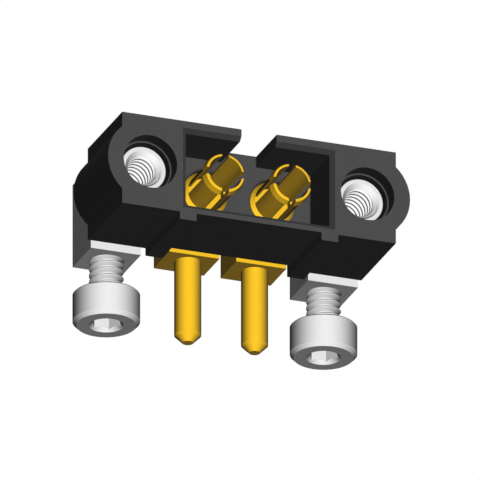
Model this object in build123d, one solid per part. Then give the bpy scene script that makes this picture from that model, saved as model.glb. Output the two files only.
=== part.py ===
"""Two-way right-angle power connector for a printed board.

A moulded housing carries two slotted socket contacts in an open-topped cavity, with a threaded
jack socket at each end. Right-angle blocks behind it turn the contacts down into solder tails,
and steel blocks take a cap screw each from below the board.

Millimetres. The origin lies on the board's surface, midway between the two tails. +X runs along
the row of contacts, to the right as seen from the mating side, +Y away from the mating side
and +Z up from the board. The mating face looks towards -Y.
"""
import os

from build123d import *

# Contacts: places
contact_pitch = 4.0
axis_height = 3.24

# Cavity and walls of the housing
cavity_depth = 3.3
cavity_height = 4.37
contact_to_side = 2.3
side_wall = 0.6
roof_wall = 0.665
floor_wall = 0.535
back_wall = 1.7
mouth_chamfer = 0.25
key_slot_width = 2.1

# Ends of the housing
end_extra_depth = 0.55
lug_wall = 0.94
lug_stands_out = 0.85
foot_width = 1.0

# Jack sockets and their bores
counterbore_radius = 1.6
counterbore_depth = 0.9
ledge_width = 0.1
jack_float = 0.175
jack_recess = 1.1
jack_seat_wall = 0.8
jack_mouth_lip = 0.125
thread_radius = 1.0
thread_depth = 0.2
jack_thread_floor = 0.4
spigot_reach = 1.9
spigot_chamfer = 0.15

# Socket contacts
contact_bore_radius = 1.0
contact_bore_depth = 3.45
contact_recess = 0.02
tine_wall = 0.12
tine_face_width = 0.11
tine_face_chamfer = 0.04
bead_stands_out = 0.12
bead_depth = 0.42
bead_run_out = 0.2
slot_width = 0.42
slot_to_collar = 0.03
collar_radius = 1.32
collar_length = 0.8
collar_stands_out = 0.05
collar_cone = 0.2
flange_radius = 1.55
contact_spigot_radius = 0.75
contact_spigot_length = 1.9

# Right-angle contact blocks
contact_block_width = 3.0
contact_block_depth = 2.6
contact_block_rise = 1.5
contact_block_lift = 0.235
contact_block_edge = 0.06
block_side_gap = 0.24

# Solder tails
block_front_to_tail = 1.1
tail_radius = 0.765
tail_below_board = 4.7
tail_taper = 0.45
tail_spigot_radius = 0.5
tail_in_block = 1.5

# Steel mounting blocks
mount_block_width = 3.0
mount_block_depth = 3.0
mount_block_rise = 1.79
mount_block_edge = 0.05
tails_to_screws = 1.0
screw_hole_depth = 1.93

# Cap screws
screw_length = 3.0
screw_standoff = 2.0
screw_head_radius = 1.9
screw_head_height = 1.9
screw_head_chamfer = 0.28
screw_bearing_chamfer = 0.04
screw_end_chamfer = 0.2
socket_across_flats = 1.5
socket_depth = 1.0
socket_lead = 0.11

# Clearances
press_gap = 0.01
thread_gap = 0.02
slip_gap = 0.05

# Sizes that follow
cavity_width = contact_pitch + 2 * contact_to_side
jack_pitch = cavity_width + 2 * (side_wall + counterbore_radius)
lug_radius = counterbore_radius + lug_wall
housing_length = jack_pitch + 2 * (lug_radius - lug_stands_out)
housing_height = floor_wall + cavity_height + roof_wall
middle_depth = cavity_depth + back_wall
end_depth = middle_depth + end_extra_depth
relief_width = contact_pitch + contact_block_width + 2 * block_side_gap
jack_bore_radius = counterbore_radius - ledge_width
jack_radius = jack_bore_radius - jack_float
jack_end = end_depth - jack_seat_wall
thread_core_radius = thread_radius - thread_depth
tine_radius = contact_bore_radius + tine_wall
bead_radius = tine_radius + bead_stands_out
flange_front = cavity_depth + collar_length
drill_point = thread_core_radius / 3 ** 0.5

# Heights and depths in the connector's own frame
mating_face = -(middle_depth + block_front_to_tail)
middle_back = mating_face + middle_depth
end_back = mating_face + end_depth
housing_bottom = axis_height - housing_height / 2
housing_top = axis_height + housing_height / 2

sides = {"left": -1, "right": 1}


def box(x_range, y_range, z_range):
    """A block between the two limits given for each axis."""
    middle = [(low + high) / 2 for low, high in (x_range, y_range, z_range)]
    size = [high - low for low, high in (x_range, y_range, z_range)]
    return Pos(*middle) * Box(*size)


def turned_along_y(x, profile):
    """A turned piece on the contact axis height, from radii and depths behind the mating face."""
    outline = make_face(Polyline(*[(radius, depth) for radius, depth in profile], close=True))
    return Pos(x, mating_face, axis_height) * revolve(outline, axis=Axis.Y)


def turned_along_z(x, y, profile):
    """A turned piece on an upright axis, from radii and heights above the board."""
    outline = make_face(Polyline(*[(radius, height) for radius, height in profile], close=True))
    upright = revolve(Plane.XZ * outline, axis=Axis.Z)
    return Pos(x, y, 0) * upright


def bored_along_y(x, steps):
    """A cutter for a stepped hole, from its (radius, start depth, end depth) steps."""
    profile = [(0, steps[0][1])]
    for radius, start, end in steps:
        profile += [(radius, start), (radius, end)]
    profile.append((0, steps[-1][2]))
    return turned_along_y(x, profile)


def mating_cavity():
    """The cavity's space with its chamfered mouth, and the key slot through the roof."""
    floor = housing_bottom + floor_wall
    ceiling = housing_top - roof_wall
    half = cavity_width / 2
    space = box((-half, half), (mating_face, mating_face + cavity_depth), (floor, ceiling))
    mouth_plane = Plane(origin=(0, mating_face, (floor + ceiling) / 2), x_dir=(1, 0, 0), z_dir=(0, 1, 0))
    mouth = Rectangle(cavity_width + 2 * mouth_chamfer, cavity_height + 2 * mouth_chamfer)
    chamfer_space = extrude(mouth_plane * mouth, mouth_chamfer, taper=45)
    half_slot = key_slot_width / 2
    slot = box((-half_slot, half_slot), (mating_face, mating_face + cavity_depth), (ceiling, housing_top))
    return space + chamfer_space + slot


def housing():
    """The one-piece moulding: body, lugs and feet, less the cavity, the reliefs and the bores."""
    half = housing_length / 2
    solid = box((-half, half), (mating_face, end_back), (housing_bottom, housing_top))
    for side in sides.values():
        jack_x = side * jack_pitch / 2
        solid += turned_along_y(jack_x, [(0, 0), (lug_radius, 0), (lug_radius, end_depth), (0, end_depth)])
        inner = side * relief_width / 2
        outer = inner + side * foot_width
        solid += box((min(inner, outer), max(inner, outer)), (mating_face, end_back), (0, housing_bottom))
    half_relief = relief_width / 2
    solid -= box((-half_relief, half_relief), (middle_back, end_back), (0, housing_top))
    solid -= mating_cavity()
    for side in sides.values():
        solid -= bored_along_y(side * jack_pitch / 2, [
            (counterbore_radius, 0, counterbore_depth),
            (jack_bore_radius, counterbore_depth, jack_end),
            (thread_radius + slip_gap, jack_end, end_depth)])
        solid -= bored_along_y(side * contact_pitch / 2, [
            (collar_radius + press_gap, cavity_depth, flange_front),
            (flange_radius + press_gap, flange_front, middle_depth)])
    return solid


def contact_socket(x):
    """A turned socket: four tines with a bead at their mouth, collar, flange and press spigot."""
    bore_end = contact_recess + contact_bore_depth
    collar_front = cavity_depth - collar_stands_out
    face_radius = contact_bore_radius + tine_face_width
    bead_at = contact_recess + bead_depth
    spigot_end = middle_depth + contact_spigot_length
    solid = turned_along_y(x, [
        (0, bore_end),
        (contact_bore_radius, bore_end),
        (contact_bore_radius, contact_recess),
        (face_radius, contact_recess),
        (face_radius + tine_face_chamfer, contact_recess + tine_face_chamfer),
        (bead_radius, bead_at),
        (tine_radius, bead_at + bead_run_out),
        (tine_radius, collar_front - collar_cone),
        (collar_radius, collar_front),
        (collar_radius, flange_front),
        (flange_radius, flange_front),
        (flange_radius, middle_depth),
        (contact_spigot_radius, middle_depth),
        (contact_spigot_radius, spigot_end),
        (0, spigot_end)])
    slot_end = mating_face + collar_front - collar_cone - slot_to_collar
    half = slot_width / 2
    reach = bead_radius + slot_width
    upright = box((x - half, x + half), (mating_face, slot_end), (axis_height - reach, axis_height + reach))
    level = box((x - reach, x + reach), (mating_face, slot_end), (axis_height - half, axis_height + half))
    return solid - upright - level


def contact_block(x):
    """A right-angle block: the contact's spigot enters its front, the tail its underside."""
    half = contact_block_width / 2
    top = axis_height + contact_block_rise
    solid = box((x - half, x + half), (middle_back, middle_back + contact_block_depth), (contact_block_lift, top))
    solid = chamfer(solid.faces().sort_by(Axis.Y)[-1].edges(), contact_block_edge)
    spigot_end = middle_depth + contact_spigot_length + slip_gap
    solid -= bored_along_y(x, [(contact_spigot_radius + press_gap, middle_depth, spigot_end)])
    tail_hole = tail_spigot_radius + press_gap
    tail_top = contact_block_lift + tail_in_block + slip_gap
    return solid - turned_along_z(x, 0, [
        (0, contact_block_lift), (tail_hole, contact_block_lift), (tail_hole, tail_top), (0, tail_top)])


def tail_pin(x):
    """A solder tail with a tapered end, shouldered on its block's underside and pressed into it."""
    tip = -tail_below_board
    top = contact_block_lift + tail_in_block
    return turned_along_z(x, 0, [
        (0, tip),
        (tail_radius - tail_taper, tip),
        (tail_radius, tip + tail_taper),
        (tail_radius, contact_block_lift),
        (tail_spigot_radius, contact_block_lift),
        (tail_spigot_radius, top),
        (0, top)])


def jack_socket(x):
    """A threaded sleeve with a wide conical mouth and a screwed spigot, drawn without threads."""
    mouth_radius = jack_radius - jack_mouth_lip
    mouth_end = jack_recess + mouth_radius - thread_core_radius
    thread_end = jack_end - jack_thread_floor
    spigot_radius = thread_radius - press_gap
    spigot_end = end_depth + spigot_reach
    return turned_along_y(x, [
        (0, thread_end + drill_point),
        (thread_core_radius, thread_end),
        (thread_core_radius, mouth_end),
        (mouth_radius, jack_recess),
        (jack_radius, jack_recess),
        (jack_radius, jack_end),
        (spigot_radius, jack_end),
        (spigot_radius, spigot_end - spigot_chamfer),
        (spigot_radius - spigot_chamfer, spigot_end),
        (0, spigot_end)])


def mount_block(x):
    """A steel block that stands on the board, tapped for the jack's spigot and for the screw."""
    half = mount_block_width / 2
    top = axis_height + mount_block_rise
    solid = box((x - half, x + half), (end_back, end_back + mount_block_depth), (0, top))
    solid = chamfer(solid.faces().sort_by(Axis.Y)[-1].edges(), mount_block_edge)
    solid -= bored_along_y(x, [(thread_radius, end_depth, end_depth + spigot_reach + slip_gap)])
    return solid - turned_along_z(x, tails_to_screws, [
        (0, 0), (thread_radius, 0), (thread_radius, screw_hole_depth), (0, screw_hole_depth)])


def board_screw(x):
    """A hexagon socket cap screw, head down, with its thread left plain."""
    bearing = -screw_standoff
    end = bearing - screw_head_height
    tip = bearing + screw_length
    shank = thread_radius - thread_gap
    head = turned_along_z(x, tails_to_screws, [
        (0, end), (screw_head_radius, end), (screw_head_radius, bearing), (0, bearing)])
    head = chamfer(head.edges().group_by(Axis.Z)[0], screw_head_chamfer)
    head = chamfer(head.edges().group_by(Axis.Z)[-1], screw_bearing_chamfer)
    shank_rod = turned_along_z(x, tails_to_screws, [
        (0, bearing),
        (shank, bearing),
        (shank, tip - screw_end_chamfer),
        (shank - screw_end_chamfer, tip),
        (0, tip)])
    hexagon = RegularPolygon(socket_across_flats / 2, 6, major_radius=False)
    socket = Pos(x, tails_to_screws, end) * extrude(hexagon, socket_depth)
    corner_radius = socket_across_flats / 3 ** 0.5
    lead = turned_along_z(x, tails_to_screws, [
        (0, end), (corner_radius + socket_lead, end), (0, end + corner_radius + socket_lead)])
    return head + shank_rod - socket - lead


nodes = {"housing": housing()}
for name, side in sides.items():
    contact_x = side * contact_pitch / 2
    jack_x = side * jack_pitch / 2
    nodes["contact_socket_" + name] = contact_socket(contact_x)
    nodes["contact_block_" + name] = contact_block(contact_x)
    nodes["tail_pin_" + name] = tail_pin(contact_x)
    nodes["jack_socket_" + name] = jack_socket(jack_x)
    nodes["mount_block_" + name] = mount_block(jack_x)
    nodes["board_screw_" + name] = board_screw(jack_x)

os.makedirs("parts", exist_ok=True)
for node, shape in nodes.items():
    export_step(shape, "parts/" + node + ".step")
    print(node, "volume", round(shape.volume, 3))
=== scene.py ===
"""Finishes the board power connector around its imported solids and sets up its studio."""

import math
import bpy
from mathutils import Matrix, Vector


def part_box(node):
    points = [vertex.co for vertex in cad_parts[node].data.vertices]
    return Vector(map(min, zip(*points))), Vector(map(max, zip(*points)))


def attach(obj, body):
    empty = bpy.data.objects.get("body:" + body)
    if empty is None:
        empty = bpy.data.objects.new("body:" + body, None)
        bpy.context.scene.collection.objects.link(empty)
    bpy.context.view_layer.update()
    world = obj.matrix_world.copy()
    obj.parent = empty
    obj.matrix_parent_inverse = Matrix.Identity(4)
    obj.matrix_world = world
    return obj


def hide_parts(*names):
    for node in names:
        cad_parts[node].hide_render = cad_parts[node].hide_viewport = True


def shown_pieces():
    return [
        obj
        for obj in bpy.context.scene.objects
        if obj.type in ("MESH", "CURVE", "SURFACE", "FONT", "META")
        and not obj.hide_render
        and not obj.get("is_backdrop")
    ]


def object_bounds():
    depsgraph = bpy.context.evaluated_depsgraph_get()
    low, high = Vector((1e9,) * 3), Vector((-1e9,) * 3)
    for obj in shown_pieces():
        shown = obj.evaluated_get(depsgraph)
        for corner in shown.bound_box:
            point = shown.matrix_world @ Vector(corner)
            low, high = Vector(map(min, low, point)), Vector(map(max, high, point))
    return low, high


bl_info = {
    "name": "Board power connector",
    "version": (1, 0, 0),
    "blender": (4, 5, 0),
    "location": "3D View > Sidebar > Connector",
    "description": "Threads, finishes and studio for a two-way board power connector",
    "category": "Add Mesh",
}

import bmesh
import bpy
from mathutils import Matrix, Vector

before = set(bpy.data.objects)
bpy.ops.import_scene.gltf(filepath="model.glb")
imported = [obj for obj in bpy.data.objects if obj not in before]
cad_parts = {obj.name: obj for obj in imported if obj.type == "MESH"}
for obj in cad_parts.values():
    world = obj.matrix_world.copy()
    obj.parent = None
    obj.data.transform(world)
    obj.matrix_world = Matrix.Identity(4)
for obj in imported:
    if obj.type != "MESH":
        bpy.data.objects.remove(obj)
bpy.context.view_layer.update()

MM = 0.001
SIDES = ("left", "right")

# Corners around a turned piece: a multiple of 12, so that a hexagon's corners and flats fall on them.
AROUND = 96
# The angle that one side of a hexagon spans.
HEXAGON_STEP = math.pi / 3
# Between a thread's flank and the plane across its axis.
FLANK_ANGLE = math.pi / 6
# Between a drill's axis and its cutting edge.
DRILL_ANGLE = math.pi / 3
# A thread's band runs through its crest, flank, root and flank in each turn, with four rows for each.
PARTS_PER_TURN = 4
ROWS_PER_TURN = 4 * PARTS_PER_TURN
# Turns by which a band is longer than its thread, and how many of those come before the thread starts.
SPARE_TURNS = 3
LEAD_TURNS = 2
# Points of a band and of its body closer than this are one point.
MERGE_DISTANCE = 0.0005 * MM
# An edge that turns by more than this stays crisp.
CRISP_ANGLE = math.radians(30)

# Side of the square picture, in pixels.
PICTURE = 480


def linear(hex_colour):
    """An sRGB hex colour as three linear values."""
    levels = [int(hex_colour[i:i + 2], 16) / 255 for i in (1, 3, 5)]
    return [v / 12.92 if v <= 0.04045 else ((v + 0.055) / 1.055) ** 2.4 for v in levels]


def middle(node):
    """The middle of a node's box at rest."""
    low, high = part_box(node)
    return (low + high) / 2


def radius(node):
    """Half of a node's extent along the row."""
    low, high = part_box(node)
    return (high.x - low.x) / 2


class ThreadSizes(bpy.types.PropertyGroup):
    """Sizes that the screws' threads and the jack sockets' threads share: M2, with 60 degree flanks."""

    pitch: bpy.props.FloatProperty(
        name="Pitch", description="Travel of one turn", default=0.4 * MM, unit="LENGTH", precision=5)
    run_out: bpy.props.FloatProperty(
        name="Run-out", description="Length over which a thread fades away", default=0.2 * MM,
        unit="LENGTH", precision=5)


class ScrewSizes(bpy.types.PropertyGroup):
    """Sizes of the hexagon socket cap screws."""

    head_radius: bpy.props.FloatProperty(
        name="Head radius", description="Half of the head's diameter",
        default=radius("board_screw_left"), unit="LENGTH", precision=5)
    head_height: bpy.props.FloatProperty(
        name="Head height", description="Height of the head", default=1.9 * MM,
        unit="LENGTH", precision=5)
    rim_chamfer: bpy.props.FloatProperty(
        name="Rim chamfer", description="Chamfer around the driven end of the head", default=0.22 * MM,
        unit="LENGTH", precision=5)
    bearing_edge: bpy.props.FloatProperty(
        name="Bearing edge", description="Broken edge beside the bearing face", default=0.08 * MM,
        unit="LENGTH", precision=5)
    across_flats: bpy.props.FloatProperty(
        name="Across flats", description="Width of the hexagon socket", default=1.5 * MM,
        unit="LENGTH", precision=5)
    socket_depth: bpy.props.FloatProperty(
        name="Socket depth", description="Depth of the hexagon's flats", default=1.0 * MM,
        unit="LENGTH", precision=5)
    socket_lead: bpy.props.FloatProperty(
        name="Socket lead", description="How far the lead cone's rim passes the hexagon's corners",
        default=0.11 * MM, unit="LENGTH", precision=5)
    crest_radius: bpy.props.FloatProperty(
        name="Crest radius", description="Half of the thread's outer diameter", default=0.98 * MM,
        unit="LENGTH", precision=5)
    crest_flat: bpy.props.FloatProperty(
        name="Crest flat", description="Width of the thread's crest, in pitches", default=0.125,
        min=0, max=0.5)
    thread_depth: bpy.props.FloatProperty(
        name="Thread depth", description="From the crests to the roots", default=0.235 * MM,
        unit="LENGTH", precision=5)
    phase: bpy.props.FloatProperty(
        name="Phase", description="How many turns along its helix the thread starts", default=0.28,
        min=-1, max=1)
    tip_radius: bpy.props.FloatProperty(
        name="Tip radius", description="Half of the flat end's diameter, inside its chamfer",
        default=0.73 * MM, unit="LENGTH", precision=5)


class JackSizes(bpy.types.PropertyGroup):
    """Sizes of the threaded jack sockets."""

    mouth_lip: bpy.props.FloatProperty(
        name="Mouth lip", description="Width of the flat ring around the chamfer", default=0.235 * MM,
        unit="LENGTH", precision=5)
    sleeve_length: bpy.props.FloatProperty(
        name="Sleeve length", description="From the lip to the shoulder", default=3.65 * MM,
        unit="LENGTH", precision=5)
    sleeve_edge: bpy.props.FloatProperty(
        name="Sleeve edge", description="Broken edge at both ends of the sleeve", default=0.02 * MM,
        unit="LENGTH", precision=5)
    bore_radius: bpy.props.FloatProperty(
        name="Bore radius", description="Half of the drilled bore's diameter", default=0.8 * MM,
        unit="LENGTH", precision=5)
    crest_flat: bpy.props.FloatProperty(
        name="Crest flat", description="Width of the thread's crest, in pitches", default=0.42,
        min=0, max=0.5)
    thread_depth: bpy.props.FloatProperty(
        name="Thread depth", description="From the bore's wall to the thread's roots", default=0.2 * MM,
        unit="LENGTH", precision=5)
    phase: bpy.props.FloatProperty(
        name="Phase", description="How many turns along its helix the thread starts", default=-0.5,
        min=-1, max=1)
    thread_floor: bpy.props.FloatProperty(
        name="Thread floor", description="From the thread's end to the shoulder", default=0.4 * MM,
        unit="LENGTH", precision=5)
    spigot_radius: bpy.props.FloatProperty(
        name="Spigot radius", description="Half of the screwed spigot's diameter", default=0.99 * MM,
        unit="LENGTH", precision=5)
    spigot_chamfer: bpy.props.FloatProperty(
        name="Spigot chamfer", description="Chamfer at the spigot's end", default=0.15 * MM,
        unit="LENGTH", precision=5)


class Finishes(bpy.types.PropertyGroup):
    """Colours, roughness and surface marks of the three materials."""

    # The two nylon colours are lit and shaded copies of one nylon: the paler one is a painted highlight
    # for faces square to the mould
    nylon: bpy.props.FloatVectorProperty(
        name="Nylon", description="Colour of the housing's faces square to its mould",
        default=linear("#4A4A4A"), subtype="COLOR", min=0, max=1)
    # Painted shade: the walls are painted darker than the faces square to the mould, for the sheen that
    # they don't catch
    nylon_shaded_walls: bpy.props.FloatVectorProperty(
        name="Nylon walls", description="Colour of the housing's walls, scuffed as they left the mould",
        default=linear("#3E3E3E"), subtype="COLOR", min=0, max=1)
    nylon_roughness: bpy.props.FloatProperty(
        name="Nylon roughness", description="Roughness between the grains of the moulded skin",
        default=0.5, subtype="FACTOR", min=0, max=1)
    nylon_grain: bpy.props.FloatProperty(
        name="Nylon grain", description="Width of one grain of the moulded skin", default=0.12 * MM,
        unit="LENGTH", precision=5)
    nylon_grain_depth: bpy.props.FloatProperty(
        name="Nylon grain depth", description="Depth of the moulded skin's grain", default=0.02 * MM,
        unit="LENGTH", precision=5)
    nylon_flow: bpy.props.FloatProperty(
        name="Nylon flow", description="Width of a streak that the flowing melt left", default=2 * MM,
        unit="LENGTH", precision=5)
    gold: bpy.props.FloatVectorProperty(
        name="Gold", description="Colour of the plated contacts", default=linear("#FFCA2C"),
        subtype="COLOR", min=0, max=1)
    turned_gold: bpy.props.FloatProperty(
        name="Turned gold", description="Roughness of the contact sockets and tails", default=0.24,
        subtype="FACTOR", min=0, max=1)
    milled_gold: bpy.props.FloatProperty(
        name="Milled gold", description="Roughness of the contact blocks", default=0.26,
        subtype="FACTOR", min=0, max=1)
    steel: bpy.props.FloatVectorProperty(
        name="Steel", description="Colour of the stainless steel", default=linear("#EFEFEF"),
        subtype="COLOR", min=0, max=1)
    milled_steel: bpy.props.FloatProperty(
        name="Milled steel", description="Roughness of the mounting blocks", default=0.3,
        subtype="FACTOR", min=0, max=1)
    jack_steel: bpy.props.FloatProperty(
        name="Jack steel", description="Roughness of the turned jack sockets", default=0.26,
        subtype="FACTOR", min=0, max=1)
    screw_steel: bpy.props.FloatProperty(
        name="Screw steel", description="Roughness of the turned screws", default=0.28,
        subtype="FACTOR", min=0, max=1)
    tool_mark: bpy.props.FloatProperty(
        name="Tool mark", description="Width of one mark left by turning or milling", default=0.06 * MM,
        unit="LENGTH", precision=5)
    tool_mark_depth: bpy.props.FloatProperty(
        name="Tool mark depth", description="Depth of one mark left by turning or milling",
        default=0.0015 * MM, unit="LENGTH", precision=5)
    handling_mark: bpy.props.FloatProperty(
        name="Handling mark", description="Width of a patch that handling has dulled", default=0.8 * MM,
        unit="LENGTH", precision=5)


class Studio(bpy.types.PropertyGroup):
    """The picture's view and its light."""

    azimuth: bpy.props.FloatProperty(
        name="Azimuth", description="How far left of straight ahead the camera stands",
        default=math.radians(20.44), subtype="ANGLE")
    elevation: bpy.props.FloatProperty(
        name="Elevation", description="How far the camera stands below the level",
        default=math.radians(23.62), subtype="ANGLE")
    camera_distance: bpy.props.FloatProperty(
        name="Camera distance", description="From the camera to the plane that it aims at",
        default=60 * MM, unit="LENGTH")
    wall_azimuth: bpy.props.FloatProperty(
        name="Wall azimuth", description="How far left of straight ahead the mirrored wall is brightest",
        default=math.radians(12.6), subtype="ANGLE")
    wall_elevation: bpy.props.FloatProperty(
        name="Wall elevation", description="How far below the level the mirrored wall is brightest",
        default=math.radians(21.4), subtype="ANGLE")
    wall_strength: bpy.props.FloatProperty(
        name="Wall strength", description="Strength of the mirrored wall where it is brightest",
        default=1.27, min=0)
    wall_falloff: bpy.props.FloatProperty(
        name="Wall falloff", description="How fast the mirrored wall darkens away from there",
        default=1.25, min=0)
    pixels_per_mm: bpy.props.FloatProperty(
        name="Pixels per mm", description="Scale of the view in a picture of 480 pixels", default=17.83,
        min=1)
    aim: bpy.props.FloatVectorProperty(
        name="Aim", description="Pixels from the mating face's middle to the picture's, right and down",
        default=(-19.1, 62.5), size=2)
    background: bpy.props.FloatProperty(
        name="Background", description="Strength of the white ground, where 1 is white",
        default=1.0, min=0)
    room: bpy.props.FloatProperty(
        name="Room light", description="Strength of the even light from all around",
        default=0.018, min=0)
    key: bpy.props.FloatProperty(
        name="Key light", description="Light from the front, where 1 renders a colour as written",
        default=1.0, min=0)
    key_direction: bpy.props.FloatVectorProperty(
        name="Key direction", description="From the connector towards the key lamp",
        default=(-0.01, -1, -0.08), subtype="XYZ", size=3)
    key_distance: bpy.props.FloatProperty(
        name="Key distance", description="From the connector's middle to the key lamp", default=1.2,
        unit="LENGTH")
    key_size: bpy.props.FloatProperty(
        name="Key size", description="Side of the key lamp", default=0.1, unit="LENGTH")
    fill: bpy.props.FloatProperty(
        name="Fill light", description="Light from above and behind, as a share of full light",
        default=0.6, min=0)
    fill_direction: bpy.props.FloatVectorProperty(
        name="Fill direction", description="From the connector towards the fill lamp",
        default=(0.5, 0.62, 0.6), subtype="XYZ", size=3)
    fill_distance: bpy.props.FloatProperty(
        name="Fill distance", description="From the connector's middle to the fill lamp", default=0.15,
        unit="LENGTH")
    fill_size: bpy.props.FloatProperty(
        name="Fill size", description="Side of the fill lamp", default=0.06, unit="LENGTH")
    floor: bpy.props.FloatVectorProperty(
        name="Floor", description="Colour of the floor", default=linear("#F4F4F4"), subtype="COLOR",
        min=0, max=1)
    floor_glow: bpy.props.FloatProperty(
        name="Floor glow", description="Strength of the light that the floor gives out to stay pale",
        default=0.45, min=0)
    floor_side: bpy.props.FloatProperty(
        name="Floor side", description="Side of the square floor", default=0.8, unit="LENGTH")
    floor_gap: bpy.props.FloatProperty(
        name="Floor gap", description="From the tails' ends down to the floor", default=0.002 * MM,
        unit="LENGTH", precision=5)


def add_node(tree, kind, settings=None, inputs=None):
    """Adds one node with its settings. Each input is given a value, or another node's output to read."""
    node = tree.nodes.new(kind)
    for name, value in (settings or {}).items():
        setattr(node, name, value)
    for name, value in (inputs or {}).items():
        if isinstance(value, bpy.types.NodeSocket):
            tree.links.new(value, node.inputs[name])
        else:
            node.inputs[name].default_value = value
    return node


def new_material(name):
    """An empty node material with its output; returns the material, its tree and its output."""
    material = bpy.data.materials.new(name)
    material.use_nodes = True
    material.node_tree.nodes.clear()
    return material, material.node_tree, add_node(material.node_tree, "ShaderNodeOutputMaterial")


NYLON_IOR = 1.53
# The spark-finished skin scatters nearly all that it mirrors.
NYLON_SHEEN = 0.06
# How squarely a face looks out of the mould where its painted highlight starts to show, and where it is
# full.
NYLON_HIGHLIGHT_START_FACING = 0.75
NYLON_HIGHLIGHT_FULL_FACING = 0.98
# How much lighter or darker than its colour the flow of the melt leaves the skin.
NYLON_MOTTLE = 0.06
# How much rougher a grain is than the skin between the grains, and how strongly it tilts the light.
NYLON_GRAIN_ROUGHNESS = 0.16
NYLON_GRAIN_RELIEF = 0.12


def glass_filled_nylon():
    """Nylon with short glass fibres, moulded in a spark-finished tool: a dark, even, satin skin, with a
    painted highlight on faces square to the mould and painted shade on its walls.
    """
    finish = bpy.context.scene.connector_finishes
    material, tree, output = new_material("glass_filled_nylon")
    where = add_node(tree, "ShaderNodeTexCoord").outputs
    place = where["Object"]
    # Painted highlight and painted shade: faces square to the mould's opening are painted paler, and
    # walls and chamfers darker.
    turned = add_node(tree, "ShaderNodeVectorMath", {"operation": "ABSOLUTE"}, {0: where["Normal"]})
    square = add_node(tree, "ShaderNodeSeparateXYZ", inputs={"Vector": turned.outputs["Vector"]})
    painted_highlight = add_node(
        tree, "ShaderNodeMapRange", {"interpolation_type": "SMOOTHSTEP"},
        {"Value": square.outputs["Y"], "From Min": NYLON_HIGHLIGHT_START_FACING, "From Max": NYLON_HIGHLIGHT_FULL_FACING})
    skin = add_node(tree, "ShaderNodeMix", {"data_type": "RGBA"}, {
        "Factor": painted_highlight.outputs["Result"],
        6: list(finish.nylon_shaded_walls) + [1],
        7: list(finish.nylon) + [1]})
    # Flow of the melt: the skin is faintly lighter where fibres lie at the surface.
    flow = add_node(tree, "ShaderNodeTexNoise", inputs={
        "Vector": place, "Scale": 1 / finish.nylon_flow, "Detail": 3})
    fibre = add_node(tree, "ShaderNodeMapRange", inputs={
        "Value": flow.outputs["Fac"], "To Min": 1 - NYLON_MOTTLE, "To Max": 1 + NYLON_MOTTLE})
    colour = add_node(tree, "ShaderNodeVectorMath", {"operation": "SCALE"},
                      {0: skin.outputs[2], "Scale": fibre.outputs["Result"]})
    # Spark grain is about 0.03 mm; it is drawn four times as wide so that it shows.
    grain = add_node(tree, "ShaderNodeTexNoise", inputs={
        "Vector": place, "Scale": 1 / finish.nylon_grain, "Detail": 2})
    rough = add_node(tree, "ShaderNodeMapRange", inputs={
        "Value": grain.outputs["Fac"], "To Min": finish.nylon_roughness,
        "To Max": finish.nylon_roughness + NYLON_GRAIN_ROUGHNESS})
    bump = add_node(tree, "ShaderNodeBump", inputs={
        "Height": grain.outputs["Fac"], "Strength": NYLON_GRAIN_RELIEF,
        "Distance": finish.nylon_grain_depth})
    shader = add_node(tree, "ShaderNodeBsdfPrincipled", inputs={
        "Base Color": colour.outputs["Vector"], "IOR": NYLON_IOR, "Specular IOR Level": NYLON_SHEEN,
        "Roughness": rough.outputs["Result"], "Normal": bump.outputs["Normal"]})
    tree.links.new(shader.outputs["BSDF"], output.inputs["Surface"])
    return material


# How many times longer than wide a milling cutter's mark is drawn.
MILLED_STRETCH = 20
# How far marks take a metal's roughness below and above its own, and how strongly they tilt the light.
METAL_SMOOTHER = 0.04
METAL_ROUGHER = 0.06
METAL_RELIEF = 0.1


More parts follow.
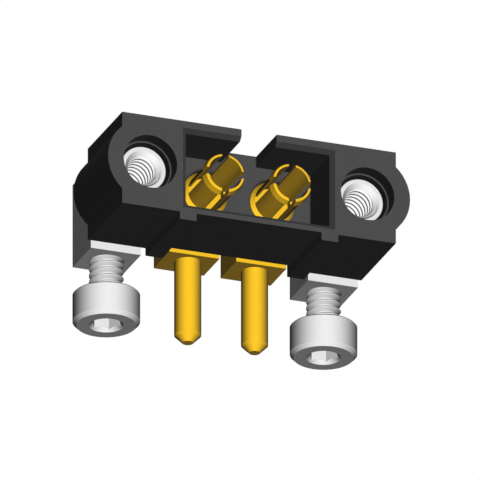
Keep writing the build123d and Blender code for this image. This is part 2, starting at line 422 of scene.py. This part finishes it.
def machined_metal(name, colour, roughness, centre=None, lay="Z"):
    """A metal with fine tool marks: rings around a turned piece's centre line, or straight marks."""
    finish = bpy.context.scene.connector_finishes
    material, tree, output = new_material(name)
    place = add_node(tree, "ShaderNodeTexCoord").outputs["Object"]
    if centre is None:
        # Milled faces: the cutter's marks run straight across, so they are drawn out along the row.
        drawn_out = add_node(tree, "ShaderNodeMapping", inputs={
            "Vector": place, "Scale": (1 / MILLED_STRETCH, 1, 1)})
        across = drawn_out.outputs["Vector"]
    else:
        # Both halves of the connector share one material, so the row's left half is folded over.
        folded = add_node(tree, "ShaderNodeVectorMath", {"operation": "ABSOLUTE"}, {0: place})
        signed = add_node(tree, "ShaderNodeSeparateXYZ", inputs={"Vector": place})
        half = add_node(tree, "ShaderNodeSeparateXYZ", inputs={"Vector": folded.outputs["Vector"]})
        joined = add_node(tree, "ShaderNodeCombineXYZ", inputs={
            "X": half.outputs["X"], "Y": signed.outputs["Y"], "Z": signed.outputs["Z"]})
        centred = add_node(tree, "ShaderNodeVectorMath", {"operation": "SUBTRACT"},
                           {0: joined.outputs["Vector"], 1: centre})
        level = add_node(tree, "ShaderNodeVectorMath", {"operation": "MULTIPLY"},
                         {0: centred.outputs["Vector"], 1: (1, 0, 1) if lay == "Y" else (1, 1, 0)})
        distance = add_node(tree, "ShaderNodeVectorMath", {"operation": "LENGTH"},
                            {0: level.outputs["Vector"]})
        along = add_node(tree, "ShaderNodeMath", {"operation": "ADD"},
                         {0: signed.outputs[lay], 1: distance.outputs["Value"]})
        rings = add_node(tree, "ShaderNodeCombineXYZ", inputs={"Z": along.outputs["Value"]})
        across = rings.outputs["Vector"]
    marks = add_node(tree, "ShaderNodeTexNoise", inputs={
        "Vector": across, "Scale": 1 / finish.tool_mark, "Detail": 2})
    wear = add_node(tree, "ShaderNodeTexNoise", inputs={
        "Vector": place, "Scale": 1 / finish.handling_mark, "Detail": 2})
    uneven = add_node(tree, "ShaderNodeMath", {"operation": "MULTIPLY"},
                      {0: marks.outputs["Fac"], 1: wear.outputs["Fac"]})
    rough = add_node(tree, "ShaderNodeMapRange", inputs={
        "Value": uneven.outputs["Value"], "To Min": roughness - METAL_SMOOTHER,
        "To Max": roughness + METAL_ROUGHER})
    bump = add_node(tree, "ShaderNodeBump", inputs={
        "Height": marks.outputs["Fac"], "Strength": METAL_RELIEF, "Distance": finish.tool_mark_depth})
    shader = add_node(tree, "ShaderNodeBsdfPrincipled", inputs={
        "Base Color": list(colour) + [1], "Metallic": 1, "Roughness": rough.outputs["Result"],
        "Normal": bump.outputs["Normal"]})
    tree.links.new(shader.outputs["BSDF"], output.inputs["Surface"])
    return material


def cover(nodes, material):
    """Gives CAD nodes a finish in place of their packed one."""
    for name in nodes:
        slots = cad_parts[name].material_slots
        if not slots:
            raise RuntimeError(name + " has no material slot")
        for slot in slots:
            slot.material = material


def lathed(name, strips):
    """A turned mesh about Z, from strips of (radius, height) rings; either may depend on the angle."""
    def value(given, angle):
        return given(angle) if callable(given) else given

    angles = [2 * math.pi * i / AROUND for i in range(AROUND)]
    points = []
    faces = []
    for rings in strips:
        first = len(points)
        for radius_at, height_at in rings:
            for angle in angles:
                distance = value(radius_at, angle)
                height = value(height_at, angle)
                points.append((distance * math.cos(angle), distance * math.sin(angle), height))
        for ring in range(len(rings) - 1):
            here = first + ring * AROUND
            there = here + AROUND
            for i in range(AROUND):
                j = (i + 1) % AROUND
                faces.append((here + i, here + j, there + j, there + i))
    mesh = bpy.data.meshes.new(name)
    mesh.from_pydata(points, [], faces)
    piece = bpy.data.objects.new(name, mesh)
    bpy.context.scene.collection.objects.link(piece)
    return piece


# The helical band of a thread, worked out one step at a time: (result, operation, terms). The columns
# of its grid go once around the axis. Its rows follow the profile, one pitch for each crest, flank, root
# and flank.
THREAD_STEPS = (
    ("length", "SUBTRACT", "End", "Start"),
    ("turns", "DIVIDE", "length", "Pitch"),
    ("whole turns", "CEIL", "turns"),
    ("rows", "MULTIPLY_ADD", "whole turns", ROWS_PER_TURN, SPARE_TURNS * ROWS_PER_TURN + 1),
    ("columns", "ADD", "Around", 1),
    ("nudged", "ADD", "index", 0.5),
    ("rows passed", "DIVIDE", "nudged", "columns"),
    ("row", "FLOOR", "rows passed"),
    ("row start", "MULTIPLY", "row", "columns"),
    ("column", "SUBTRACT", "index", "row start"),
    ("share", "DIVIDE", "column", "Around"),
    ("angle", "MULTIPLY", "share", 2 * math.pi),
    ("turns passed", "DIVIDE", "row", ROWS_PER_TURN),
    ("turn", "FLOOR", "turns passed"),
    ("part of turn", "SUBTRACT", "turns passed", "turn"),
    ("segment", "MULTIPLY", "part of turn", PARTS_PER_TURN),
    ("along crest", "MINIMUM", "segment", 1),
    ("past crest", "SUBTRACT", "segment", 1),
    ("not on crest", "MAXIMUM", "past crest", 0),
    ("down flank", "MINIMUM", "not on crest", 1),
    ("past flank", "SUBTRACT", "segment", 2),
    ("not on flank", "MAXIMUM", "past flank", 0),
    ("along root", "MINIMUM", "not on flank", 1),
    ("past root", "SUBTRACT", "segment", 3),
    ("up flank", "MAXIMUM", "past root", 0),
    ("at root", "SUBTRACT", "down flank", "up flank"),
    ("flank rise", "DIVIDE", "Depth", "Pitch"),
    ("flank", "MULTIPLY", "flank rise", math.tan(FLANK_ANGLE)),
    ("not crest", "SUBTRACT", 1, "Crest flat"),
    ("root flat", "MULTIPLY_ADD", "flank", -2, "not crest"),
    ("to crest end", "MULTIPLY", "along crest", "Crest flat"),
    ("to flank end", "MULTIPLY_ADD", "down flank", "flank", "to crest end"),
    ("to root end", "MULTIPLY_ADD", "along root", "root flat", "to flank end"),
    ("phase", "MULTIPLY_ADD", "up flank", "flank", "to root end"),
    ("in turn", "ADD", "turn", "phase"),
    ("travel", "ADD", "in turn", "share"),
    ("turned", "ADD", "travel", "Phase"),
    ("from start", "SUBTRACT", "turned", LEAD_TURNS),
    ("free height", "MULTIPLY_ADD", "from start", "Pitch", "Start"),
    ("not below", "MAXIMUM", "free height", "Start"),
    ("height", "MINIMUM", "not below", "End"),
    ("past start", "SUBTRACT", "height", "Start"),
    ("before end", "SUBTRACT", "End", "height"),
    ("difference", "SUBTRACT", "past start", "before end"),
    ("to chamfer", "MULTIPLY_ADD", "difference", "Internal", "before end"),
    ("to plain end", "SUBTRACT", "length", "to chamfer"),
    ("faded", "DIVIDE", "to plain end", "Run-out"),
    ("fade", "MINIMUM", "faded", 1),
    ("cut", "MULTIPLY", "Depth", "fade"),
    ("cut here", "MULTIPLY", "cut", "at root"),
    ("side", "MULTIPLY_ADD", "Internal", 2, -1),
    ("crest side", "MULTIPLY", "Crest radius", "side"),
    ("threaded", "ADD", "crest side", "cut here"),
    ("chamfer side", "MULTIPLY", "Chamfer radius", "side"),
    ("chamfer", "SUBTRACT", "chamfer side", "to chamfer"),
    ("outermost", "MAXIMUM", "threaded", "chamfer"),
    ("radius", "MULTIPLY", "outermost", "side"),
    ("cosine", "COSINE", "angle"),
    ("sine", "SINE", "angle"),
    ("x", "MULTIPLY", "radius", "cosine"),
    ("y", "MULTIPLY", "radius", "sine"),
)
THREAD_INPUTS = {
    "Body": "Geometry",
    "Pitch": "Float",
    "Depth": "Float",
    "Crest radius": "Float",
    "Crest flat": "Float",
    "Chamfer radius": "Float",
    "Start": "Float",
    "End": "Float",
    "Run-out": "Float",
    "Phase": "Float",
    "Around": "Int",
    "Internal": "Bool",
    "Material": "Material",
}


def thread_tree():
    """Geometry nodes that make a thread as one helical band and close it with the body it is cut in."""
    tree = bpy.data.node_groups.new("screw thread", "GeometryNodeTree")
    for name, kind in THREAD_INPUTS.items():
        tree.interface.new_socket(name, in_out="INPUT", socket_type="NodeSocket" + kind)
    tree.interface.new_socket("Geometry", in_out="OUTPUT", socket_type="NodeSocketGeometry")
    given = add_node(tree, "NodeGroupInput").outputs
    known = {name: given[name] for name in THREAD_INPUTS}
    known["index"] = add_node(tree, "GeometryNodeInputIndex").outputs["Index"]
    for result, operation, *terms in THREAD_STEPS:
        step = add_node(tree, "ShaderNodeMath", {"operation": operation},
                        {i: known.get(term, term) for i, term in enumerate(terms)})
        known[result] = step.outputs["Value"]
    grid = add_node(tree, "GeometryNodeMeshGrid", inputs={
        "Vertices X": known["rows"], "Vertices Y": known["columns"]})
    place = add_node(tree, "ShaderNodeCombineXYZ", inputs={
        "X": known["x"], "Y": known["y"], "Z": known["height"]})
    band = add_node(tree, "GeometryNodeSetPosition", inputs={
        "Geometry": grid.outputs["Mesh"], "Position": place.outputs["Vector"]})
    outside = add_node(tree, "FunctionNodeBooleanMath", {"operation": "NOT"}, {0: given["Internal"]})
    faced = add_node(tree, "GeometryNodeFlipFaces", inputs={
        "Mesh": band.outputs["Geometry"], "Selection": outside.outputs["Boolean"]})
    whole = add_node(tree, "GeometryNodeJoinGeometry", inputs={"Geometry": given["Body"]})
    tree.links.new(faced.outputs["Mesh"], whole.inputs["Geometry"])
    closed = add_node(tree, "GeometryNodeMergeByDistance", inputs={
        "Geometry": whole.outputs["Geometry"], "Distance": MERGE_DISTANCE})
    real = add_node(tree, "GeometryNodeRealizeInstances", inputs={
        "Geometry": closed.outputs["Geometry"]})
    finished = add_node(tree, "GeometryNodeSetMaterial", inputs={
        "Geometry": real.outputs["Geometry"], "Material": given["Material"]})
    add_node(tree, "NodeGroupOutput", inputs={"Geometry": finished.outputs["Geometry"]})
    return tree


def threaded(piece, tree, sizes):
    """Gives a turned body its thread and leaves the finished plain mesh on the same object."""
    modifier = piece.modifiers.new("thread", "NODES")
    modifier.node_group = tree
    for socket in tree.interface.items_tree:
        if socket.in_out == "INPUT" and socket.name in sizes:
            modifier[socket.identifier] = sizes[socket.name]
    graph = bpy.context.evaluated_depsgraph_get()
    mesh = bpy.data.meshes.new_from_object(piece.evaluated_get(graph))
    piece.modifiers.remove(modifier)
    body = piece.data
    piece.data = mesh
    bpy.data.meshes.remove(body)
    check_closed(piece)
    return piece


def check_closed(piece):
    """Stops the script if a turned piece has a gap or an edge that more than two faces share."""
    shell = bmesh.new()
    shell.from_mesh(piece.data)
    open_edges = sum(1 for edge in shell.edges if len(edge.link_faces) != 2)
    shell.free()
    if open_edges:
        raise RuntimeError(piece.name + " isn't closed at " + str(open_edges) + " edges")


def smooth(piece):
    """Smooth shading, with crisp edges where the surface turns sharply."""
    for face in piece.data.polygons:
        face.use_smooth = True
    piece.data.set_sharp_from_angle(angle=CRISP_ANGLE)


def settle(piece, place, node, body):
    """Puts a finished piece in its place in the connector, hides the node that it stands in for and ties
    it to its body.
    """
    piece.data.transform(place)
    piece.data.update()
    smooth(piece)
    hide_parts(node)
    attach(piece, body)


class CONNECTOR_OT_housing(bpy.types.Operator):
    """Gives the moulded housing its finish"""

    bl_idname = "connector.housing"
    bl_label = "Housing"

    def execute(self, context):
        cover(["housing"], glass_filled_nylon())
        return {"FINISHED"}


class CONNECTOR_OT_contacts(bpy.types.Operator):
    """Gives the socket contacts, their blocks and their tails their gold plate"""

    bl_idname = "connector.contacts"
    bl_label = "Contacts"

    def execute(self, context):
        finish = context.scene.connector_finishes
        axis = middle("contact_socket_right")
        tail = middle("tail_pin_right")
        # Bright gold over turned copper alloy: a clear yellow mirror, softened by fine turning rings.
        turned_socket = machined_metal(
            "gold_plate_turned_socket", finish.gold, finish.turned_gold, centre=tuple(axis), lay="Y")
        turned_tail = machined_metal(
            "gold_plate_turned_tail", finish.gold, finish.turned_gold, centre=tuple(tail), lay="Z")
        milled = machined_metal("gold_plate_milled", finish.gold, finish.milled_gold)
        cover(["contact_socket_" + side for side in SIDES], turned_socket)
        cover(["tail_pin_" + side for side in SIDES], turned_tail)
        cover(["contact_block_" + side for side in SIDES], milled)
        return {"FINISHED"}


class CONNECTOR_OT_mount_blocks(bpy.types.Operator):
    """Gives the steel mounting blocks their finish"""

    bl_idname = "connector.mount_blocks"
    bl_label = "Mounting blocks"

    def execute(self, context):
        finish = context.scene.connector_finishes
        # Free-machining stainless steel, milled: a pale grey, even sheen with straight fine marks.
        steel = machined_metal("stainless_steel_milled", finish.steel, finish.milled_steel)
        cover(["mount_block_" + side for side in SIDES], steel)
        return {"FINISHED"}


class CONNECTOR_OT_jack_sockets(bpy.types.Operator):
    """Turns the two jack sockets, with their threads"""

    bl_idname = "connector.jack_sockets"
    bl_label = "Jack sockets"

    def execute(self, context):
        jack = context.scene.connector_jack
        thread = context.scene.connector_thread
        finish = context.scene.connector_finishes
        low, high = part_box("jack_socket_right")
        axis = middle("jack_socket_right")
        outer = radius("jack_socket_right")
        length = high.y - low.y
        mouth = outer - jack.mouth_lip
        bore = jack.bore_radius
        thread_end = jack.sleeve_length - jack.thread_floor
        edge = jack.sleeve_edge
        # Turned stainless steel: bright rings around the mouth and along the thread's flanks.
        steel = machined_metal(
            "stainless_steel_turned_jack", finish.steel, finish.jack_steel, centre=tuple(axis), lay="Y")
        sizes = {
            "Pitch": thread.pitch,
            "Depth": jack.thread_depth,
            "Crest radius": bore,
            "Crest flat": jack.crest_flat,
            "Chamfer radius": mouth,
            "Start": 0.0,
            "End": thread_end,
            "Run-out": thread.run_out,
            "Phase": jack.phase,
            "Around": AROUND,
            "Internal": True,
            "Material": steel,
        }
        tree = thread_tree()
        drilled = [(0, thread_end + bore / math.tan(DRILL_ANGLE)), (bore, thread_end)]
        sleeve = [(mouth, 0), (outer - edge, 0), (outer, edge)]
        sleeve += [(outer, jack.sleeve_length - edge), (outer - edge, jack.sleeve_length)]
        spigot = [(jack.spigot_radius, jack.sleeve_length)]
        spigot += [(jack.spigot_radius, length - jack.spigot_chamfer)]
        spigot += [(jack.spigot_radius - jack.spigot_chamfer, length), (0, length)]
        along_y = Matrix.Rotation(-math.pi / 2, 4, "X")
        for side in SIDES:
            node = "jack_socket_" + side
            piece = threaded(lathed(node + "_finished", [drilled, sleeve + spigot]), tree, sizes)
            place = Matrix.Translation((middle(node).x, low.y, axis.z)) @ along_y
            settle(piece, place, node, "connector")
        return {"FINISHED"}


class CONNECTOR_OT_board_screws(bpy.types.Operator):
    """Turns the two cap screws, with their threads and hexagon sockets"""

    bl_idname = "connector.board_screws"
    bl_label = "Board screws"

    def execute(self, context):
        screw = context.scene.connector_screw
        thread = context.scene.connector_thread
        finish = context.scene.connector_finishes
        low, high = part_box("board_screw_right")
        axis = middle("board_screw_right")
        length = high.z - low.z
        # Turned stainless steel: soft bright head with faint rings, crests that catch the light.
        steel = machined_metal(
            "stainless_steel_turned_screw", finish.steel, finish.screw_steel,
            centre=(axis.x, axis.y, 0), lay="Z")
        sizes = {
            "Pitch": thread.pitch,
            "Depth": screw.thread_depth,
            "Crest radius": screw.crest_radius,
            "Crest flat": screw.crest_flat,
            "Chamfer radius": screw.tip_radius,
            "Start": screw.head_height,
            "End": length,
            "Run-out": thread.run_out,
            "Phase": screw.phase,
            "Around": AROUND,
            "Internal": False,
            "Material": steel,
        }
        tree = thread_tree()
        head = self.socket_rings(screw) + self.head_rings(screw)
        tip = [(screw.tip_radius, length), (0, length)]
        for side in SIDES:
            node = "board_screw_" + side
            piece = threaded(lathed(node + "_finished", [head, tip]), tree, sizes)
            place = Matrix.Translation((middle(node).x, axis.y, low.z))
            settle(piece, place, node, side + "_screw")
        return {"FINISHED"}

    def socket_rings(self, screw):
        """Rings of the hexagon socket, from its floor to the rim of its lead cone."""
        flat = screw.across_flats / 2
        rim = flat / math.cos(HEXAGON_STEP / 2) + screw.socket_lead
        depth = screw.socket_depth

        def hexagon(angle):
            return flat / math.cos(angle % HEXAGON_STEP - HEXAGON_STEP / 2)

        def lead(angle):
            return rim - hexagon(angle)

        return [(0, depth), (hexagon, depth), (hexagon, lead), (rim, 0)]

    def head_rings(self, screw):
        """Rings of the head's outside, from its driven end to the thread on its bearing face."""
        outer = screw.head_radius
        top = screw.head_height
        chamfer = screw.rim_chamfer
        edge = screw.bearing_edge
        side = [(outer - chamfer, 0), (outer, chamfer), (outer, top - edge), (outer - edge, top)]
        return side + [(screw.crest_radius, top)]


def viewing_axes(across, down):
    """Unit vectors right, up and towards the eye, for a view so far from the left and from below."""
    right = Vector((math.cos(across), -math.sin(across), 0))
    level = Vector((-math.sin(across), -math.cos(across), 0))
    upward = level * math.sin(down) + Vector((0, 0, math.cos(down)))
    return right, upward, right.cross(upward)


def soft_lamp(name, target, direction, distance, size, level):
    """A square lamp that lights a face turned towards it to the given share of full light."""
    lamp = bpy.data.lights.new(name, "AREA")
    lamp.size = size
    # A lamp of P watts gives P / (pi d^2) per unit area at distance d, and full light is pi.
    lamp.energy = level * (math.pi * distance) ** 2
    item = bpy.data.objects.new(name, lamp)
    bpy.context.scene.collection.objects.link(item)
    direction = Vector(direction).normalized()
    item.location = target + direction * distance
    item.rotation_euler = direction.to_track_quat("Z", "Y").to_euler()
    item.visible_glossy = False
    item.visible_camera = False


class CONNECTOR_OT_stage(bpy.types.Operator):
    """Sets up the floor, the white ground, the lamps and the camera"""

    bl_idname = "connector.stage"
    bl_label = "Stage"

    def execute(self, context):
        studio = context.scene.connector_studio
        self.add_camera(context, studio)
        self.add_world(context, studio)
        self.add_floor(studio)
        low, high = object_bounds()
        target = (Vector(low) + Vector(high)) / 2
        soft_lamp(
            "key", target, studio.key_direction, studio.key_distance, studio.key_size, studio.key)
        soft_lamp(
            "fill", target, studio.fill_direction, studio.fill_distance, studio.fill_size, studio.fill)
        context.scene.view_settings.view_transform = "Standard"
        return {"FINISHED"}

    def add_camera(self, context, studio):
        right, upward, towards = viewing_axes(studio.azimuth, studio.elevation)
        low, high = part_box("jack_socket_right")
        face = Vector((0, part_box("housing")[0].y, (low.z + high.z) / 2))
        pixel = MM / studio.pixels_per_mm
        aim = face + right * studio.aim[0] * pixel - upward * studio.aim[1] * pixel
        data = bpy.data.cameras.new("camera")
        data.type = "ORTHO"
        data.ortho_scale = PICTURE * pixel
        data.clip_start = MM
        data.clip_end = 10
        camera = bpy.data.objects.new("camera", data)
        context.scene.collection.objects.link(camera)
        turn = Matrix((right, upward, towards)).transposed().to_4x4()
        camera.matrix_world = Matrix.Translation(aim + towards * studio.camera_distance) @ turn
        context.scene.camera = camera

    def add_world(self, context, studio):
        world = bpy.data.worlds.new("studio")
        context.scene.world = world
        world.use_nodes = True
        tree = world.node_tree
        tree.nodes.clear()
        path = add_node(tree, "ShaderNodeLightPath").outputs
        # The picture's metals mirror a bright wall at the viewer's side, which falls off behind them.
        direction = add_node(tree, "ShaderNodeTexCoord").outputs["Generated"]
        towards = viewing_axes(studio.wall_azimuth, studio.wall_elevation)[2]
        facing = add_node(tree, "ShaderNodeVectorMath", {"operation": "DOT_PRODUCT"},
                          {0: direction, 1: tuple(towards)})
        share = add_node(tree, "ShaderNodeMath", {"operation": "MULTIPLY_ADD", "use_clamp": True},
                         {0: facing.outputs["Value"], 1: 0.5, 2: 0.5})
        fall = add_node(tree, "ShaderNodeMath", {"operation": "POWER"},
                        {0: share.outputs["Value"], 1: studio.wall_falloff})
        wall = add_node(tree, "ShaderNodeMath", {"operation": "MULTIPLY"},
                        {0: fall.outputs["Value"], 1: studio.wall_strength})
        bright, dim, ground = (
            add_node(tree, "ShaderNodeBackground", inputs={"Color": (1, 1, 1, 1), "Strength": strength})
            for strength in (wall.outputs["Value"], studio.room, studio.background))
        indirect = add_node(tree, "ShaderNodeMixShader", inputs={
            0: path["Is Glossy Ray"], 1: dim.outputs["Background"], 2: bright.outputs["Background"]})
        seen = add_node(tree, "ShaderNodeMath", {"operation": "MAXIMUM"},
                        {0: path["Is Camera Ray"], 1: path["Is Transmission Ray"]})
        both = add_node(tree, "ShaderNodeMixShader", inputs={
            0: seen.outputs["Value"], 1: indirect.outputs["Shader"], 2: ground.outputs["Background"]})
        add_node(tree, "ShaderNodeOutputWorld", inputs={"Surface": both.outputs["Shader"]})

    def add_floor(self, studio):
        half = studio.floor_side / 2
        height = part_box("tail_pin_left")[0].z - studio.floor_gap
        mesh = bpy.data.meshes.new("floor")
        corners = [(half * x, half * y, height) for x, y in ((-1, -1), (1, -1), (1, 1), (-1, 1))]
        mesh.from_pydata(corners, [], [(0, 1, 2, 3)])
        floor = bpy.data.objects.new("floor", mesh)
        bpy.context.scene.collection.objects.link(floor)
        material, tree, output = new_material("pale_floor")
        paint = add_node(tree, "ShaderNodeBsdfDiffuse", inputs={"Color": list(studio.floor) + [1]})
        glow = add_node(tree, "ShaderNodeEmission", inputs={"Strength": studio.floor_glow})
        lit = add_node(tree, "ShaderNodeAddShader", inputs={
            0: paint.outputs["BSDF"], 1: glow.outputs["Emission"]})
        # The picture is taken from below board level, so the floor lets every ray through from beneath.
        clear = add_node(tree, "ShaderNodeBsdfTransparent")
        beneath = add_node(tree, "ShaderNodeNewGeometry").outputs["Backfacing"]
        both = add_node(tree, "ShaderNodeMixShader", inputs={
            0: beneath, 1: lit.outputs["Shader"], 2: clear.outputs["BSDF"]})
        tree.links.new(both.outputs["Shader"], output.inputs["Surface"])
        mesh.materials.append(material)
        floor.visible_diffuse = False
        floor.visible_glossy = False
        floor.visible_shadow = False
        floor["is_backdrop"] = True


class VIEW3D_PT_connector(bpy.types.Panel):
    """The connector's operators and sizes"""

    bl_label = "Connector"
    bl_idname = "VIEW3D_PT_connector"
    bl_space_type = "VIEW_3D"
    bl_region_type = "UI"
    bl_category = "Connector"

    def draw(self, context):
        for operator in OPERATORS:
            self.layout.operator(operator.bl_idname)
        for name, group in GROUPS.items():
            box = self.layout.box()
            box.label(text=group.__name__)
            for key in group.__annotations__:
                box.prop(getattr(context.scene, name), key)


GROUPS = {
    "connector_thread": ThreadSizes,
    "connector_screw": ScrewSizes,
    "connector_jack": JackSizes,
    "connector_finishes": Finishes,
    "connector_studio": Studio,
}
OPERATORS = (
    CONNECTOR_OT_housing,
    CONNECTOR_OT_contacts,
    CONNECTOR_OT_mount_blocks,
    CONNECTOR_OT_jack_sockets,
    CONNECTOR_OT_board_screws,
    CONNECTOR_OT_stage,
)


def register():
    for item in list(GROUPS.values()) + list(OPERATORS) + [VIEW3D_PT_connector]:
        bpy.utils.register_class(item)
    for name, group in GROUPS.items():
        setattr(bpy.types.Scene, name, bpy.props.PointerProperty(type=group))


def unregister():
    for name in GROUPS:
        delattr(bpy.types.Scene, name)
    for item in [VIEW3D_PT_connector] + list(OPERATORS) + list(GROUPS.values()):
        bpy.utils.unregister_class(item)


def main():
    register()
    bpy.ops.connector.housing()
    bpy.ops.connector.contacts()
    bpy.ops.connector.mount_blocks()
    bpy.ops.connector.jack_sockets()
    bpy.ops.connector.board_screws()
    bpy.ops.connector.stage()
    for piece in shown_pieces():
        # As in the picture, no piece mirrors another, and bright metal throws no light on the housing.
        piece.visible_glossy = False
        piece.visible_diffuse = "housing" in piece.name


if __name__ == "__main__":
    main()
